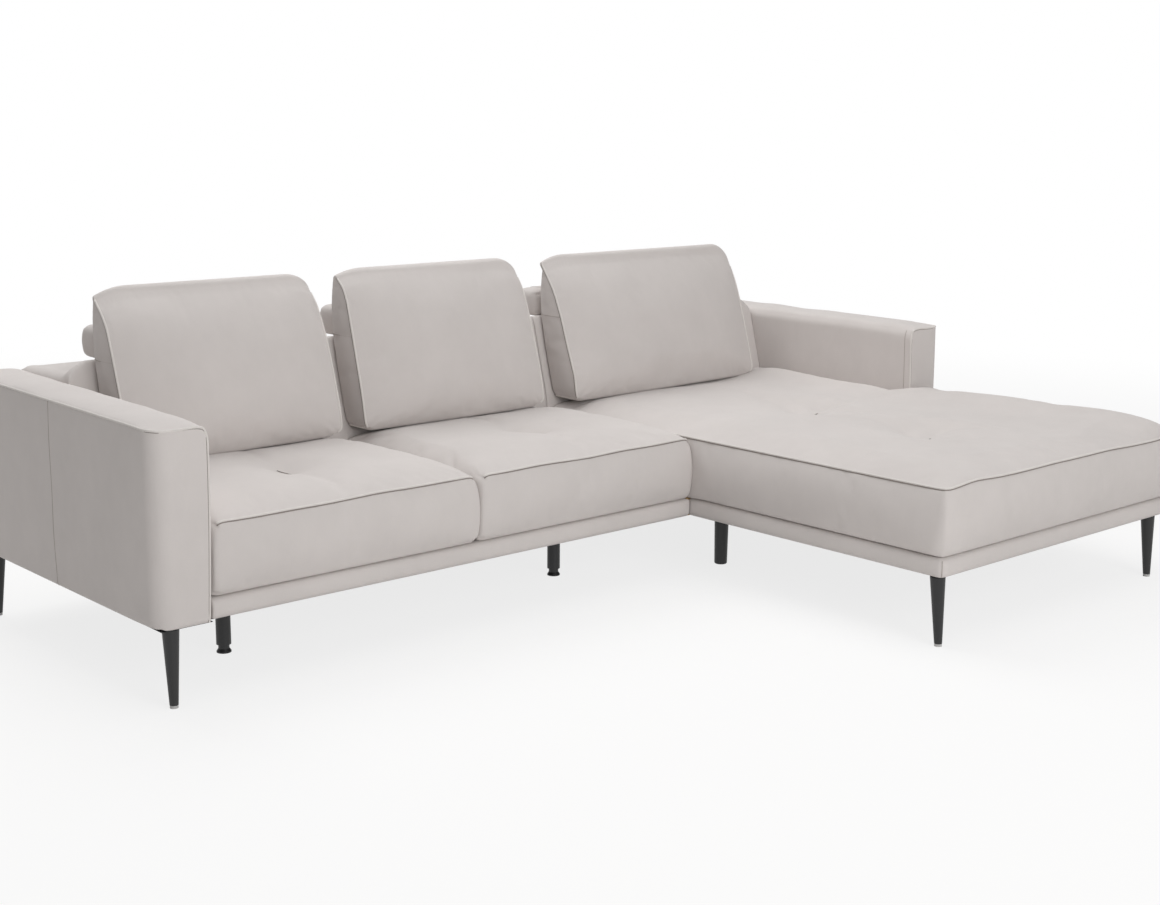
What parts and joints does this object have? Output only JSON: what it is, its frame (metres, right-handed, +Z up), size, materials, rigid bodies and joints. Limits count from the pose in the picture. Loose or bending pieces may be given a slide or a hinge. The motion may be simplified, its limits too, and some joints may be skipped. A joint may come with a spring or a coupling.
{
  "type": "corner sofa",
  "caption": "Fabric corner sofa with a long chaise on the right, upholstered arms, loose leaning back cushions, tilting padded headrests and slim tapered black metal legs.",
  "frame": {"origin": "on the floor, below the middle of the sofa's outline as seen from above", "axes": "+X along the width to the right as one faces the sofa, +Y from the front of the chaise to the back, +Z up"},
  "size_m": [2.731, 1.8115, 0.8524],
  "materials": {
    "cushion_fabric": "soft short-pile woven upholstery, warm light greige",
    "body_fabric": "soft short-pile woven upholstery, warm light greige",
    "timber": "sawn and planed softwood boards",
    "spring_steel": "bright drawn spring wire",
    "black_steel": "satin black powder coat",
    "zinc_steel": "bright zinc plate",
    "grey_plastic": "light grey moulded plastic",
    "underside_cloth": "thin black bottom cloth"
  },
  "bodies": {
    "sofa": {"left_arm_frame": "timber", "right_arm_frame": "timber", "seater_base_frame": "timber", "chaise_base_frame": "timber", "seater_back_frame": "timber", "chaise_back_frame": "timber", "seat_springs_wire": "spring_steel", "chaise_springs_wire": "spring_steel", "spring_clips": "grey_plastic", "seater_underside_cloth": "underside_cloth", "chaise_underside_cloth": "underside_cloth", "left_arm_upholstery": "body_fabric", "right_arm_upholstery": "body_fabric", "seater_back_upholstery": "body_fabric", "chaise_back_upholstery": "body_fabric", "seater_base_rail": "body_fabric", "chaise_left_base_rail": "body_fabric", "chaise_front_base_rail": "body_fabric", "chaise_right_base_rail": "body_fabric", "left_seat_cushion": "cushion_fabric", "middle_seat_cushion": "cushion_fabric", "chaise_cushion": "cushion_fabric", "left_headrest_brackets": "black_steel", "middle_headrest_brackets": "black_steel", "chaise_headrest_brackets": "black_steel", "headrest_pivot_pins": "zinc_steel", "headrest_bracket_bolts": "zinc_steel", "front_left_leg": "black_steel", "rear_left_leg": "black_steel", "rear_right_leg": "black_steel", "chaise_front_left_leg": "black_steel", "chaise_front_right_leg": "black_steel", "leg_glides": "grey_plastic", "leg_mounting_plates": "black_steel", "leg_screws": "zinc_steel", "left_support_leg": "black_steel", "right_support_leg": "black_steel", "rear_support_leg": "black_steel", "chaise_middle_leg": "black_steel", "chaise_rear_middle_leg": "black_steel", "connector_stud_plates": "zinc_steel", "connector_hook_plates": "zinc_steel"},
    "left_loose_cushion": {"left_back_cushion": "cushion_fabric"},
    "middle_loose_cushion": {"middle_back_cushion": "cushion_fabric"},
    "chaise_loose_cushion": {"chaise_back_cushion": "cushion_fabric"},
    "left_headrest_bar": {"left_headrest": "cushion_fabric", "left_headrest_board": "timber", "left_headrest_arms": "black_steel"},
    "middle_headrest_bar": {"middle_headrest": "cushion_fabric", "middle_headrest_board": "timber", "middle_headrest_arms": "black_steel"},
    "chaise_headrest_bar": {"chaise_headrest": "cushion_fabric", "chaise_headrest_board": "timber", "chaise_headrest_arms": "black_steel"},
    "left_screw_foot": {"left_levelling_foot": "black_steel"},
    "right_screw_foot": {"right_levelling_foot": "black_steel"},
    "rear_screw_foot": {"rear_levelling_foot": "black_steel"}
  },
  "joints": [
    {"name": "left_headrest_tilt", "type": "hinge", "parent": "sofa", "child": "left_headrest_bar", "pos_m": [-0.8205, 0.69981, 0.659], "axis": [-1, 0, 0], "range_deg": [0, 40]},
    {"name": "middle_headrest_tilt", "type": "hinge", "parent": "sofa", "child": "middle_headrest_bar", "pos_m": [-0.1045, 0.69981, 0.659], "axis": [-1, 0, 0], "range_deg": [0, 40]},
    {"name": "chaise_headrest_tilt", "type": "hinge", "parent": "sofa", "child": "chaise_headrest_bar", "pos_m": [0.6865, 0.69981, 0.659], "axis": [-1, 0, 0], "range_deg": [0, 40]},
    {"name": "left_cushion_lift", "type": "slide", "parent": "sofa", "child": "left_loose_cushion", "axis": [0, 0, 1], "range_m": [0, 0.45]},
    {"name": "middle_cushion_lift", "type": "slide", "parent": "sofa", "child": "middle_loose_cushion", "axis": [0, 0, 1], "range_m": [0, 0.45]},
    {"name": "chaise_cushion_lift", "type": "slide", "parent": "sofa", "child": "chaise_loose_cushion", "axis": [0, 0, 1], "range_m": [0, 0.45]},
    {"name": "left_foot_screw", "type": "slide", "parent": "sofa", "child": "left_screw_foot", "axis": [0, 0, -1], "range_m": [0, 0.012]},
    {"name": "right_foot_screw", "type": "slide", "parent": "sofa", "child": "right_screw_foot", "axis": [0, 0, -1], "range_m": [0, 0.012]},
    {"name": "rear_foot_screw", "type": "slide", "parent": "sofa", "child": "rear_screw_foot", "axis": [0, 0, -1], "range_m": [0, 0.012]}
  ]
}
